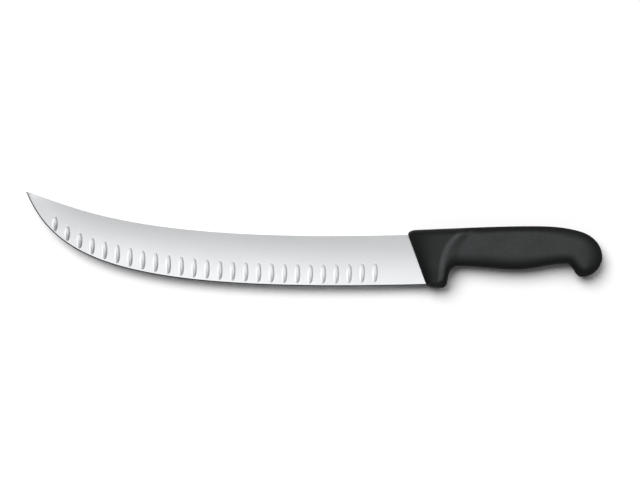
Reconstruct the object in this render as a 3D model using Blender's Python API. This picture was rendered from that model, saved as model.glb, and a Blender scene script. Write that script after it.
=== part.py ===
"""Curved butcher's knife: a hollow-fluted steel blade with a hidden tang, and the handle moulded on it.

The knife lies on its side, as on a table. The tip points to -X, the handle to +X, the spine to +Y
and the cutting edge to -Y. Z = 0 is the lowest side of the handle. Plan points below are measured
from the front corner, where the handle's back meets its front face, and the finished parts are
moved so that the origin is under the middle of the knife's bounding box.
"""

import math

import bmesh
import bpy
import numpy as np
from mathutils import Vector
from mathutils.bvhtree import BVHTree
from mathutils.geometry import interpolate_bezier

# Blade outline: degrees, and metres from the origin by the handle's front corner
BLADE_REACH = 0.2895
TIP_RISE = 0.0318
HEEL_DEPTH = 0.0389
SPINE_SINK = 0.00095
FRONT_START = -0.0004
FRONT_LEAN = 20.0
SPINE_DIP_ANGLE = 1.66
SPINE_TIP_ANGLE = 16.9
EDGE_DIP_ANGLE = 1.60
EDGE_TIP_ANGLE = 67.0
SPINE_PULLS = (0.716, 0.1398)
EDGE_PULLS = (0.7366, 0.1855)

# Blade section
SPINE_THICKNESS = 0.0025
POINT_THICKNESS = 0.0009
LAND_THICKNESS = 0.0005
BEVEL_WIDTH = 0.0009
SPINE_ROUND = 0.00025
FACE_CROWN = 0.00018

# Flutes ground into both faces, staggered by half a pitch. Pitch, gaps and runs are measured along
# the spine. The flutes are shorter towards the tip, and rise a little from the edge at the heel.
FLUTE_PITCH = 0.0098
FLUTE_LENGTH = 0.0158
FLUTE_TIP_LENGTH = 0.0116
FLUTE_TIP_RUN = 0.060
FLUTE_WIDTH = 0.0043
FLUTE_DEPTH = 0.00035
FLUTE_EDGE_GAP = 0.0015
FLUTE_HEEL_RISE = 0.0009
FLUTE_HEEL_RUN = 0.035
FLUTE_HEEL_GAP = 0.0251
FLUTE_TIP_GAP = 0.0228

# Hidden end of the blade
SHOULDER_DEPTH = 0.006
TANG_WALL = 0.0050
TANG_TAPER = 0.0025
TANG_BACK_WALL = 0.036
TANG_CORNER = 0.003
TANG_HOLE_RADIUS = 0.004
TANG_HOLE_COUNT = 3
CLEARANCE = 0.0003

# Handle outline: metres from the front corner
HANDLE_REACH = 0.1471
CORNER_DROP = 0.0014
CORNER_RUN = 0.0062
CORNER_RISE = 0.0029
BACK_RISE = 0.0057
BACK_PEAK_GAP = 0.0524
CROWN_GAP = 0.0155
CROWN_RISE = 0.0013
POMMEL_DROP = 0.0178
ROUND_GAP = 0.0024
ROUND_DROP = 0.0253
HOOK_GAP = 0.0160
HOOK_DROP = 0.0328
HOOK_CORNER_GAP = 0.0179
HOOK_CORNER_RISE = 0.0006
HOOK_FACE_GAP = 0.0224
HOOK_FACE_DROP = 0.0264
HOOK_NOTCH_GAP = 0.0266
HOOK_NOTCH_DROP = 0.0227
BELLY_X = 0.0812
BELLY_DROP = 0.0272
FINGER_X = 0.0375
FINGER_DROP = 0.0244
GUARD_BACK_X = 0.0304
GUARD_BACK_DROP = 0.0313
GUARD_CORNER_X = 0.0279
GUARD_CORNER_RISE = 0.0009
GUARD_TOE_X = 0.0255
GUARD_TOE_COVER = 0.0022
HEEL_COVER = 0.0006

# Handle thickness on each side of the blade's middle plane, and the share of the collar's rise
# that is crowned
FRONT_HALF = 0.0068
CREST_HALF = 0.0113
NECK_HALF = 0.0097
PALM_HALF = 0.0115
POMMEL_HALF = 0.0105
TOE_HALF = 0.0078
FRONT_FILLET = 0.0008
COLLAR_CROWN = 0.5

# Crest of the front collar: it stands square at its foot, leans back towards the handle's back, and
# is level for its width before the grip slopes down to its neck
CREST_FOOT_X = 0.0212
CREST_LEAN = 0.0149
CREST_FADE = 0.0114
LEAN_RUN = 0.060
CREST_WIDTH = 0.004
SLOPE_WIDTH = 0.010
NECK_RUN = 0.014
PALM_START = 0.062
PALM_END_GAP = 0.040
POMMEL_GAP = 0.010

# How far the handle's sides take to round over, measured in from its outline
BACK_ROUND = 0.0060
CROWN_ROUND = 0.0100
POMMEL_ROUND = 0.0130
HOOK_ROUND = 0.0075
NOTCH_ROUND = 0.0085
BELLY_ROUND = 0.0115
FINGER_ROUND = 0.0105
GUARD_ROUND = 0.0045
TOE_ROUND = 0.0070
CORNER_ROUND = 0.0025

# Near the tip the section shrinks: most that each detail may take of the depth or thickness there
BEVEL_SHARE = 0.3
ROUND_SHARE = 0.1
LAND_SHARE = 0.6

# A flute's dish as rings of width share and height share; it meets the face at width share 1
FLUTE_RINGS = ((0.35, -0.88), (0.7, -0.51), (1.3, 0.51))

# Edges that turn by more than this many degrees are drawn sharp
SHARP_ANGLE = 40.0

# Mesh counts
PATH_POINTS = 400
BLADE_STATIONS = 40
OUTLINE_STEPS = 14
FLUTE_SIDES = 18
CORNER_STEPS = 4
HOLE_SIDES = 16
RIB_SAMPLES = 90
FILLET_RIBS = 3
COLLAR_RIBS = 6
POMMEL_RIBS = 10
LOWER_ROWS = 7
FLAT_ROWS = 8
UPPER_ROWS = 5


def heading(degrees):
    """Unit vector in plan, turned counter-clockwise from +X."""
    return Vector((math.cos(math.radians(degrees)), math.sin(math.radians(degrees))))


def curve(start, start_angle, start_pull, end, end_angle, end_pull, count):
    """Points of one cubic curve between two plan points, each pull a share of the chord."""
    start = Vector(start)
    end = Vector(end)
    chord = (end - start).length
    leave = start + heading(start_angle) * start_pull * chord
    arrive = end - heading(end_angle) * end_pull * chord
    return interpolate_bezier(start, leave, arrive, end, count)


def smooth(share):
    """Eases from 0 to 1 with level ends."""
    share = min(max(share, 0.0), 1.0)
    return share * share * (3.0 - 2.0 * share)


def mix(first, second, share):
    return first + (second - first) * share


def front_x(y):
    """The front face's place at height y, in plan."""
    return FRONT_START - y * math.tan(math.radians(FRONT_LEAN))


def new_object(name, mesh, colour, roughness, metallic):
    """Links a mesh to the scene under its own material."""
    surface = bpy.data.materials.new(name)
    surface.use_nodes = True
    shader = surface.node_tree.nodes["Principled BSDF"]
    shader.inputs["Base Color"].default_value = (*colour, 1.0)
    shader.inputs["Roughness"].default_value = roughness
    shader.inputs["Metallic"].default_value = metallic
    mesh.materials.append(surface)
    mesh.shade_smooth()
    mesh.set_sharp_from_angle(angle=math.radians(SHARP_ANGLE))
    result = bpy.data.objects.new(name, mesh)
    bpy.context.collection.objects.link(result)
    return result


def skin(name, rings):
    """A closed mesh through rings of points. Points that coincide become one."""
    form = bmesh.new()
    loops = [[form.verts.new(point) for point in ring] for ring in rings]
    for here, there in zip(loops, loops[1:]):
        for k in range(len(here)):
            form.faces.new((here[k - 1], here[k], there[k], there[k - 1]))
    form.faces.new(loops[0])
    form.faces.new(reversed(loops[-1]))
    bmesh.ops.remove_doubles(form, verts=form.verts, dist=1e-6)
    bmesh.ops.recalc_face_normals(form, faces=form.faces)
    mesh = bpy.data.meshes.new(name)
    form.to_mesh(mesh)
    form.free()
    return mesh


def helper(name, mesh):
    """A cutter or an added solid that only Booleans use."""
    result = bpy.data.objects.new(name, mesh)
    result.hide_render = True
    result.display_type = "WIRE"
    bpy.context.collection.objects.link(result)
    return result


def boolean(target, other, operation):
    step = target.modifiers.new(other.name, "BOOLEAN")
    step.operation = operation
    step.solver = "EXACT"
    step.object = other


def even_shading(target):
    """Lets large faces set the normals, so that cuts leave no streaks on them."""
    step = target.modifiers.new("even_shading", "WEIGHTED_NORMAL")
    step.keep_sharp = True


def blade_side(drop, dip, tip_angle, pulls):
    """One long side of the blade in plan, from the handle's front face to the tip."""
    start = (front_x(-drop), -drop)
    tip = (-BLADE_REACH, TIP_RISE)
    return curve(start, 180.0 + dip, pulls[0], tip, 180.0 - tip_angle, pulls[1], PATH_POINTS)


def blade_sides():
    """The spine and the cutting edge in plan."""
    spine = blade_side(SPINE_SINK, SPINE_DIP_ANGLE, SPINE_TIP_ANGLE, SPINE_PULLS)
    edge = blade_side(HEEL_DEPTH, EDGE_DIP_ANGLE, EDGE_TIP_ANGLE, EDGE_PULLS)
    return spine, edge


def path_run(points):
    """A path as an array, and how far along it each of its points is."""
    path = np.array([tuple(point) for point in points])
    steps = np.linalg.norm(np.diff(path, axis=0), axis=1)
    return path, np.concatenate([[0.0], np.cumsum(steps)])


def by_length(points, shares):
    """Points at the given shares of a path's length."""
    path, run = path_run(points)
    at = np.array(shares) * run[-1]
    return [Vector((np.interp(s, run, path[:, 0]), np.interp(s, run, path[:, 1]))) for s in at]


def blade_ring(top, bottom, thickness, grow):
    """One section of the blade, from the spine down one face, round the edge and up the other."""
    across = bottom - top
    depth = across.length
    across.normalize()
    bevel = min(BEVEL_WIDTH, BEVEL_SHARE * depth)
    rounding = min(SPINE_ROUND, ROUND_SHARE * depth)
    land = min(LAND_THICKNESS, LAND_SHARE * thickness) / 2
    side = [
        (-grow, thickness / 2 - rounding + grow),
        (rounding - grow, thickness / 2 + grow),
        (mix(rounding, depth - bevel, 0.5), mix(thickness / 2, land, 0.5) + FACE_CROWN + grow),
        (depth - bevel, land + grow),
        (depth + grow, grow),
    ]
    upper = [(*(top + across * run), half) for run, half in side]
    return upper + [(x, y, -half) for x, y, half in reversed(upper)]


def ground_blade(name, grow):
    """The blade from its shoulder inside the handle to the tip, grown on all sides by a clearance."""
    spine, edge = blade_sides()
    shares = [k / BLADE_STATIONS for k in range(BLADE_STATIONS)]
    tops = by_length(spine, shares)
    bottoms = by_length(edge, shares)
    inward = heading(SPINE_DIP_ANGLE) * (SHOULDER_DEPTH + grow)
    rings = [blade_ring(tops[0] + inward, bottoms[0] + inward, SPINE_THICKNESS, grow)]
    for share, top, bottom in zip(shares, tops, bottoms):
        thickness = mix(SPINE_THICKNESS, POINT_THICKNESS, share)
        rings.append(blade_ring(top, bottom, thickness, grow))
    tip = (*spine[-1], 0.0)
    rings.append([tip] * len(rings[0]))
    return skin(name, rings)


def blade():
    """Blade, hidden shoulder and tang in one piece of steel."""
    body = new_object("blade", ground_blade("blade", 0.0), (0.78, 0.79, 0.80), 0.3, 1.0)
    boolean(body, helper("tang", tang_plate("tang", 0.0)), "UNION")
    for side in (1, -1):
        boolean(body, helper(f"flutes_{side}", flutes(body.data, side)), "DIFFERENCE")
    even_shading(body)
    return body


def flute_places(side):
    """Plan centre and length of each flute of one face, from the handle to the tip."""
    spine, edge = blade_sides()
    path, run = path_run(spine)
    xs = [point.x for point in reversed(edge)]
    ys = [point.y for point in reversed(edge)]
    first = FLUTE_HEEL_GAP + (0.0 if side > 0 else FLUTE_PITCH / 2)
    last = run[-1] - FLUTE_TIP_GAP
    count = int((last - first) / FLUTE_PITCH) + 1
    places = []
    for k in range(count):
        along = first + FLUTE_PITCH * k
        x = np.interp(along, run, path[:, 0])
        ahead, lowest, behind = np.interp((x - FLUTE_WIDTH / 2, x, x + FLUTE_WIDTH / 2), xs, ys)
        square_gap = FLUTE_EDGE_GAP * math.hypot(1.0, (ahead - behind) / FLUTE_WIDTH)
        rise = FLUTE_HEEL_RISE * (1.0 - smooth((along - FLUTE_HEEL_GAP) / FLUTE_HEEL_RUN))
        length = mix(FLUTE_TIP_LENGTH, FLUTE_LENGTH, smooth((last - along) / FLUTE_TIP_RUN))
        places.append((x, lowest + square_gap + rise + length / 2, length))
    return places


def flutes(blade_mesh, side):
    """Cutters for the flutes of one face: each is the shallow dish that a round-edged wheel grinds."""
    form = bmesh.new()
    form.from_mesh(blade_mesh)
    face = BVHTree.FromBMesh(form)
    form.free()
    cutters = bmesh.new()
    for x, y, length in flute_places(side):
        hit, normal, _, _ = face.ray_cast(Vector((x, y, side * SPINE_THICKNESS)), Vector((0, 0, -side)))
        across = Vector((1, 0, 0)) - normal * normal.x
        along = normal.cross(across)
        loops = []
        for reach, height in FLUTE_RINGS:
            loop = []
            for k in range(FLUTE_SIDES):
                turn = 2 * math.pi * k / FLUTE_SIDES
                a = reach * FLUTE_WIDTH / 2 * math.cos(turn)
                b = reach * length / 2 * math.sin(turn)
                loop.append(cutters.verts.new(hit + across * a + along * b + normal * height * FLUTE_DEPTH))
            loops.append(loop)
        deepest = cutters.verts.new(hit - normal * FLUTE_DEPTH)
        for k in range(FLUTE_SIDES):
            cutters.faces.new((loops[0][k - 1], loops[0][k], deepest))
            for inner, outer in zip(loops, loops[1:]):
                cutters.faces.new((inner[k - 1], inner[k], outer[k], outer[k - 1]))
        cutters.faces.new(loops[-1])
    bmesh.ops.recalc_face_normals(cutters, faces=cutters.faces)
    mesh = bpy.data.meshes.new("flutes")
    cutters.to_mesh(mesh)
    cutters.free()
    mesh.shade_smooth()
    return mesh


def tang_outline(grow):
    """Plan outline of the tang, set inside the handle by its walls."""
    top = CORNER_RISE - TANG_WALL + grow
    bottom = -FINGER_DROP + TANG_WALL - grow
    start = SHOULDER_DEPTH / 2 - grow
    end = HANDLE_REACH - TANG_BACK_WALL + grow
    corner = TANG_CORNER + grow
    points = [(start + front_x(top), top), (start + front_x(bottom), bottom)]
    for centre_y, quarter in ((bottom + TANG_TAPER + corner, -90), (top - TANG_TAPER - corner, 0)):
        for k in range(CORNER_STEPS + 1):
            turn = heading(quarter + 90 * k / CORNER_STEPS) * corner
            points.append((end - corner + turn.x, centre_y + turn.y))
    return points


def tang_holes():
    """Plan centres of the holes that the handle's plastic runs through."""
    middle = (CORNER_RISE - FINGER_DROP) / 2
    start = FINGER_X
    end = HANDLE_REACH - TANG_BACK_WALL - TANG_CORNER - 2 * TANG_HOLE_RADIUS
    return [(mix(start, end, k / (TANG_HOLE_COUNT - 1)), middle) for k in range(TANG_HOLE_COUNT)]


def prism(name, outlines, half):
    """Plates of one thickness on plan outlines, one closed body for each."""
    form = bmesh.new()
    for outline in outlines:
        base = form.faces.new([form.verts.new((x, y, -half)) for x, y in outline])
        raised = bmesh.ops.extrude_face_region(form, geom=[base])["geom"]
        top = [item for item in raised if isinstance(item, bmesh.types.BMVert)]
        bmesh.ops.translate(form, verts=top, vec=(0, 0, 2 * half))
    bmesh.ops.recalc_face_normals(form, faces=form.faces)
    mesh = bpy.data.meshes.new(name)
    form.to_mesh(mesh)
    form.free()
    return mesh


def discs(name, radius, half):
    """Round pegs on the tang's holes."""
    around = [heading(360.0 * k / HOLE_SIDES) * radius for k in range(HOLE_SIDES)]
    return prism(name, [[(x + p.x, y + p.y) for p in around] for x, y in tang_holes()], half)


def tang_plate(name, grow):
    """The tang with its holes. A clearance makes the plate larger and its holes smaller."""
    half = SPINE_THICKNESS / 2 + grow
    plate = bpy.data.objects.new(name, prism(name, [tang_outline(grow)], half))
    pegs = bpy.data.objects.new(f"{name}_holes", discs(name, TANG_HOLE_RADIUS - grow, 2 * half))
    for item in (plate, pegs):
        bpy.context.collection.objects.link(item)
    boolean(plate, pegs, "DIFFERENCE")
    graph = bpy.context.evaluated_depsgraph_get()
    mesh = bpy.data.meshes.new_from_object(plate.evaluated_get(graph))
    for item in (plate, pegs):
        bpy.data.objects.remove(item)
    return mesh


def knots_path(knots):
    """A smooth path through knots of x, y, heading and rounding, with the rounding at each point."""
    path = []
    for (x0, y0, turn0, round0), (x1, y1, turn1, round1) in zip(knots, knots[1:]):
        bend = math.radians((turn1 - turn0 + 180.0) % 360.0 - 180.0)
        pull = 1 / 3 if abs(bend) < 1e-3 else 2 / 3 * math.tan(bend / 4) / math.sin(bend / 2)
        points = curve((x0, y0), turn0, pull, (x1, y1), turn1, pull, OUTLINE_STEPS + 1)
        for k, point in enumerate(points[:-1]):
            path.append((*point, mix(round0, round1, k / OUTLINE_STEPS)))
    x, y, _, rounding = knots[-1]
    path.append((x, y, rounding))
    return np.array(path)


def handle_outline():
    """The handle's outline in plan: its back, then the pommel to the hook, the belly and the foot."""
    end = HANDLE_REACH
    front_angle = 90.0 + FRONT_LEAN
    back = [
        (front_x(-CORNER_DROP), -CORNER_DROP, front_angle, CORNER_ROUND),
        (CORNER_RUN, CORNER_RISE, 2.0, BACK_ROUND),
        (end - BACK_PEAK_GAP, BACK_RISE, 0.0, BACK_ROUND),
        (end - CROWN_GAP, CROWN_RISE, -18.0, CROWN_ROUND),
        (end, -POMMEL_DROP, -90.0, POMMEL_ROUND),
    ]
    drop = HEEL_DEPTH + HEEL_COVER
    toe = HEEL_DEPTH + GUARD_TOE_COVER
    hook_corner = (end - HOOK_CORNER_GAP, -HOOK_DROP + HOOK_CORNER_RISE, -211.0, HOOK_ROUND)
    guard_corner = (GUARD_CORNER_X, -toe + GUARD_CORNER_RISE, -143.0, TOE_ROUND)
    hook = [
        back[-1],
        (end - ROUND_GAP, -ROUND_DROP, -119.0, POMMEL_ROUND),
        (end - HOOK_GAP, -HOOK_DROP, -180.0, HOOK_ROUND),
        hook_corner,
    ]
    belly = [
        hook_corner,
        (end - HOOK_FACE_GAP, -HOOK_FACE_DROP, -229.0, NOTCH_ROUND),
        (end - HOOK_NOTCH_GAP, -HOOK_NOTCH_DROP, -180.0, NOTCH_ROUND),
        (BELLY_X, -BELLY_DROP, -180.0, BELLY_ROUND),
        (FINGER_X, -FINGER_DROP, -180.0, FINGER_ROUND),
        (GUARD_BACK_X, -GUARD_BACK_DROP, -109.0, GUARD_ROUND),
        guard_corner,
    ]
    foot = [
        guard_corner,
        (GUARD_TOE_X, -toe, -180.0, TOE_ROUND),
        (front_x(-drop), -drop, -215.0, CORNER_ROUND),
    ]
    return [knots_path(knots) for knots in (back, hook, belly, foot)]


def crest_x(y, beyond):
    """Plan line that runs a distance behind the crest and straightens as it leaves it."""
    lean = CREST_LEAN * math.exp(y / CREST_FADE)
    return CREST_FOOT_X + beyond + lean * (1.0 - smooth(beyond / LEAN_RUN))


def ribs():
    """Each rib of the handle as a plan line x(y) and the handle's half thickness along it."""
    lines = []
    flat = FRONT_FILLET / math.cos(math.radians(FRONT_LEAN))
    for k in range(FILLET_RIBS + 1):
        turn = math.pi / 2 * k / FILLET_RIBS
        inset = flat * (1.0 - math.cos(turn))
        half = FRONT_HALF - FRONT_FILLET * (1.0 - math.sin(turn))
        lines.append((lambda y, inset=inset: front_x(y) + inset, half))
    for k in range(1, COLLAR_RIBS + 1):
        share = k / COLLAR_RIBS
        half = collar_half(share)
        lines.append((lambda y, share=share: mix(front_x(y) + flat, crest_x(y, 0.0), share), half))
    for run in grip_runs():
        lines.append((lambda y, run=run: crest_x(y, run), grip_half(run)))
    return lines


def collar_half(share):
    """Half thickness from the front face to the crest: steeper at the front by the collar's crown."""
    left = 1.0 - share
    return mix(CREST_HALF, FRONT_HALF, mix(left, left * left, COLLAR_CROWN))


def grip_runs():
    """Distances of the grip's ribs behind the crest, close together where the outline turns."""
    end = HANDLE_REACH - CREST_FOOT_X
    stops = (
        (0.0, 0),
        (CREST_WIDTH, 3),
        (GUARD_CORNER_X - CREST_FOOT_X, 4),
        (GUARD_BACK_X - CREST_FOOT_X, 4),
        (FINGER_X - CREST_FOOT_X, 5),
        (PALM_START - CREST_FOOT_X, 8),
        (end - PALM_END_GAP, 7),
        (end - HOOK_NOTCH_GAP, 5),
        (end - HOOK_FACE_GAP, 3),
        (end - HOOK_CORNER_GAP, 5),
        (end - HOOK_GAP, 3),
    )
    runs = []
    for (low, _), (high, steps) in zip(stops, stops[1:]):
        runs += [mix(low, high, k / steps) for k in range(1, steps + 1)]
    last = stops[-1][0]
    turns = [math.pi / 2 * k / POMMEL_RIBS for k in range(1, POMMEL_RIBS + 1)]
    return runs + [mix(last, end, math.sin(turn)) for turn in turns]


def grip_half(run):
    """Half thickness behind the crest: down to the neck, up to the palm and down to the pommel."""
    end = HANDLE_REACH - CREST_FOOT_X
    palm = PALM_START - CREST_FOOT_X
    half = mix(CREST_HALF, NECK_HALF, smooth((run - CREST_WIDTH) / SLOPE_WIDTH))
    swell = smooth((run - NECK_RUN) / (palm - NECK_RUN))
    fall = smooth((run - end + PALM_END_GAP) / (PALM_END_GAP - POMMEL_GAP))
    return mix(mix(half, PALM_HALF, swell), POMMEL_HALF, fall)


def crossing(path, line):
    """Where a rib's line crosses an outline that runs steadily along X."""
    gaps = [x - line(y) for x, y, _ in path]
    for k in range(len(gaps) - 1):
        if gaps[k] == 0.0 or gaps[k] * gaps[k + 1] < 0.0:
            share = gaps[k] / (gaps[k] - gaps[k + 1])
            return mix(path[k][1], path[k + 1][1], share)
    return path[-1][1]


def roundover(x, y, stretches):
    """Share of the full thickness at a plan point: 0 at the outline, 1 on the flat.

    Each stretch of the outline rounds over by itself, so that both toes get a soft nose.
    """
    height = 1.0
    for outline in stretches:
        starts = outline[:-1, :2]
        steps = outline[1:, :2] - starts
        shares = ((np.array((x, y)) - starts) * steps).sum(axis=1) / (steps**2).sum(axis=1)
        shares = np.clip(shares, 0.0, 1.0)
        gaps = np.linalg.norm(starts + steps * shares[:, None] - (x, y), axis=1)
        near = int(gaps.argmin())
        rounding = mix(outline[near, 2], outline[near + 1, 2], shares[near])
        short = 1.0 - min(gaps[near] / rounding, 1.0)
        height *= math.sqrt(1.0 - short * short)
    return height


def rib_ring(line, half, low, high, stretches):
    """Closed section over one rib, with points crowded where the sides round over."""
    ys = low + (high - low) * (1.0 - np.cos(np.linspace(0.0, math.pi, RIB_SAMPLES))) / 2
    turns = np.array([math.asin(roundover(line(y), y, stretches)) for y in ys])
    turns[[0, -1]] = 0.0
    widest = turns.max()
    level = np.flatnonzero(turns > widest - 1e-6)
    first, last = level[0], level[-1]
    rising = np.maximum.accumulate(turns[: first + 1])
    falling = np.maximum.accumulate(turns[last:][::-1])
    below = [widest * k / LOWER_ROWS for k in range(LOWER_ROWS + 1)]
    above = [widest * k / UPPER_ROWS for k in range(UPPER_ROWS, -1, -1)]
    lower = list(np.interp(below, rising, ys[: first + 1]))
    upper = list(np.interp(above, falling, ys[last:][::-1]))
    between = [mix(lower[-1], upper[0], k / FLAT_ROWS) for k in range(1, FLAT_ROWS)]
    rows = lower + between + upper
    turns = below + [widest] * len(between) + above
    toe = -HEEL_DEPTH - GUARD_TOE_COVER
    points = []
    for y, turn in zip(rows, turns):
        taper = smooth((-FINGER_DROP - y) / (-FINGER_DROP - toe)) * (1.0 - TOE_HALF / CREST_HALF)
        points.append((line(y), y, half * (1.0 - taper) * math.sin(turn)))
    under = [(x, y, -z) for x, y, z in reversed(points[1:-1])]
    return points + under


def handle():
    """Moulded handle: a loft over ribs that fan from the slanted front face to the hooked pommel."""
    back, hook, belly, foot = handle_outline()
    under = np.vstack([hook, belly, foot])
    stretches = (np.vstack([back, hook[1:]]), belly, foot)
    rings = []
    for line, half in ribs():
        low = crossing(under, line)
        high = crossing(back, line)
        rings.append(rib_ring(line, half, low, high, stretches))
    end = (HANDLE_REACH, -POMMEL_DROP, 0.0)
    rings[-1] = [end] * len(rings[0])
    body = new_object("handle", skin("handle", rings), (0.03, 0.032, 0.032), 0.5, 0.0)
    boolean(body, helper("blade_pocket", ground_blade("blade_pocket", CLEARANCE)), "DIFFERENCE")
    boolean(body, helper("tang_pocket", tang_plate("tang_pocket", CLEARANCE)), "DIFFERENCE")
    even_shading(body)
    return body


def plan_middle():
    """Middle of the knife's bounding box in plan."""
    spine, edge = blade_sides()
    handle_plan = np.vstack(handle_outline())[:, :2]
    plan = np.vstack([handle_plan, [tuple(point) for point in spine + edge]])
    return (plan.max(axis=0) + plan.min(axis=0)) / 2


def main():
    for item in list(bpy.data.objects):
        bpy.data.objects.remove(item, do_unlink=True)
    blade()
    handle()
    middle = plan_middle()
    lift = max(CREST_HALF, PALM_HALF, POMMEL_HALF)
    for item in bpy.data.objects:
        item.location = (-middle[0], -middle[1], lift)


main()
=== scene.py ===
# %% [markdown]
# # A curved butcher's knife
#
# On the bench this knife is two pieces: a steel blade with flutes ground into its faces, which runs
# on as a hidden tang, and a black nylon handle moulded round that tang. The packed frame already
# holds both at their real size. This script dresses them: it builds each one again as a fine mesh,
# gives it the finish of the real thing, and sets up a plain studio round it.
#
# The knife lies level. The tip points to -X, the spine to +Y, and Z = 0 is the surface under it.

# %% Load the frame that everything is fitted to
import math
from functools import partial

import bmesh
import bpy
import numpy as np
from mathutils import Matrix, Vector
from mathutils.geometry import interpolate_bezier


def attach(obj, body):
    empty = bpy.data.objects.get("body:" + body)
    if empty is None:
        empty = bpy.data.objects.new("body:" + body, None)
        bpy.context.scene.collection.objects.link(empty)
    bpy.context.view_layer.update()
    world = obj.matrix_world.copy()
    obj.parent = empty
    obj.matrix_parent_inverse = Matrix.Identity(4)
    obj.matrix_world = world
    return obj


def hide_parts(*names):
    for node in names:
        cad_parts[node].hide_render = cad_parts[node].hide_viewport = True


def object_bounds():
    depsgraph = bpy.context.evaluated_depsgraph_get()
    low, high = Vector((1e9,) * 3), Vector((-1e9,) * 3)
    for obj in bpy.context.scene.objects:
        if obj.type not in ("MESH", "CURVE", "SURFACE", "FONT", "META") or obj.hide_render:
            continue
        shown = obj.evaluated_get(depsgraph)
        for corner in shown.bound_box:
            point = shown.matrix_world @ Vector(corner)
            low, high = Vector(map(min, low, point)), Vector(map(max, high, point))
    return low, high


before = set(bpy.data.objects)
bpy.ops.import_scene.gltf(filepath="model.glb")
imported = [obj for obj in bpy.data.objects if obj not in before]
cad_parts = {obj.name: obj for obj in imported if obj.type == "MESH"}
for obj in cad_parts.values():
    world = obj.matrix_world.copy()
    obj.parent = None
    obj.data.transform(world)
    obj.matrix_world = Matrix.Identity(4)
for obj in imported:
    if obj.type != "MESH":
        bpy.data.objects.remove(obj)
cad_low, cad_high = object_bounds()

print("frame box in millimetres:", [round(1000 * side, 1) for side in cad_high - cad_low])

# %% [markdown]
# ## Small helpers
#
# A node tree is a drawing, and a script that draws one node at a time is long and hard to follow.
# The helper below adds a node, fills its sockets and hands back its output, so that a formula made
# of nodes reads from the inside out like a formula in text. It serves shaders and geometry alike.

# %% A helper that writes node trees as formulas


class Graph:
    """Adds nodes to a tree. A socket that is given as a value gets linked, anything else gets set."""

    def __init__(self, tree):
        self.tree = tree

    def feed(self, socket, value):
        if isinstance(value, bpy.types.NodeSocket):
            self.tree.links.new(value, socket)
        else:
            socket.default_value = value

    def add(self, kind, inputs=None, **settings):
        node = self.tree.nodes.new(kind)
        for name, value in settings.items():
            setattr(node, name, value)
        for name, value in (inputs or {}).items():
            self.feed(node.inputs[name], value)
        return node

    def math(self, operation, *values):
        node = self.add("ShaderNodeMath", operation=operation)
        for socket, value in zip(node.inputs, values):
            self.feed(socket, value)
        return node.outputs[0]

    def vector(self, operation, *values):
        node = self.add("ShaderNodeVectorMath", operation=operation)
        for socket, value in zip(node.inputs, values):
            self.feed(socket, value)
        return node.outputs["Vector"]

    def scaled(self, vector, factor):
        node = self.add("ShaderNodeVectorMath", {0: vector, "Scale": factor}, operation="SCALE")
        return node.outputs["Vector"]

    def xyz(self, x, y, z):
        return self.add("ShaderNodeCombineXYZ", {"X": x, "Y": y, "Z": z}).outputs["Vector"]

    def parts(self, vector):
        """The X, Y and Z of a vector."""
        return self.add("ShaderNodeSeparateXYZ", {"Vector": vector}).outputs

    def ramp(self, value, low, high, first=0.0, last=1.0, ease=False):
        """Moves a value from the range low to high onto the range first to last, and no further."""
        shape = "SMOOTHSTEP" if ease else "LINEAR"
        ends = {"Value": value, "From Min": low, "From Max": high, "To Min": first, "To Max": last}
        return self.add("ShaderNodeMapRange", ends, interpolation_type=shape).outputs["Result"]

    def blend(self, share, first, second, data_type="FLOAT"):
        node = self.add("ShaderNodeMix", data_type=data_type)
        kind = {"FLOAT": "VALUE", "RGBA": "RGBA", "VECTOR": "VECTOR"}[data_type]
        pair = [socket for socket in node.inputs if socket.name in "AB" and socket.type == kind]
        self.feed(node.inputs["Factor"], share)
        self.feed(pair[0], first)
        self.feed(pair[1], second)
        return [socket for socket in node.outputs if socket.type == kind][0]


print("a Graph can make:", [name for name in vars(Graph) if not name.startswith("_")])

# %% Three small formulas that shapes and lights share


def mix(first, second, share):
    return first + (second - first) * share


def smooth(share):
    """Eases from 0 to 1 with level ends."""
    share = min(max(share, 0.0), 1.0)
    return share * share * (3.0 - 2.0 * share)


def heading(degrees):
    """Unit vector in plan, turned counter-clockwise from +X."""
    return Vector((math.cos(math.radians(degrees)), math.sin(math.radians(degrees)), 0.0))


print("a quarter of the way, smooth gives", round(smooth(0.25), 3), "and half way", smooth(0.5))

# %% [markdown]
# ## Camera
#
# The knife was photographed from straight above with a long lens, which keeps its ends as large as
# its middle. The knife's length in the picture is known, so one pixel is a known length, and the
# camera's height follows from the lens. A long lens also keeps the blade's reflections calm,
# because all of it is seen from nearly the same direction.

# %% Camera straight above, at the height that the lens asks for
IMAGE_WIDTH = 640
KNIFE_PIXELS = 576.2
CENTRE_RIGHT_PIXELS = 5.85
CENTRE_DOWN_PIXELS = 5.65
LENS = 120.0
SENSOR = 36.0
CLIP_START = 0.05

pixel = (cad_high.x - cad_low.x) / KNIFE_PIXELS
middle_height = (cad_low.z + cad_high.z) / 2
camera_height = IMAGE_WIDTH * pixel * LENS / SENSOR

camera = bpy.data.objects.new("camera", bpy.data.cameras.new("camera"))
camera.data.lens = LENS
camera.data.sensor_width = SENSOR
camera.data.clip_start = CLIP_START
camera.location.x = CENTRE_RIGHT_PIXELS * pixel
camera.location.y = -CENTRE_DOWN_PIXELS * pixel
camera.location.z = middle_height + camera_height
bpy.context.scene.collection.objects.link(camera)
bpy.context.scene.camera = camera
bpy.context.scene.view_settings.view_transform = "Standard"
print("camera height in metres:", round(camera_height, 3))
print("one pixel in millimetres:", round(1000 * pixel, 3))

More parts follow.
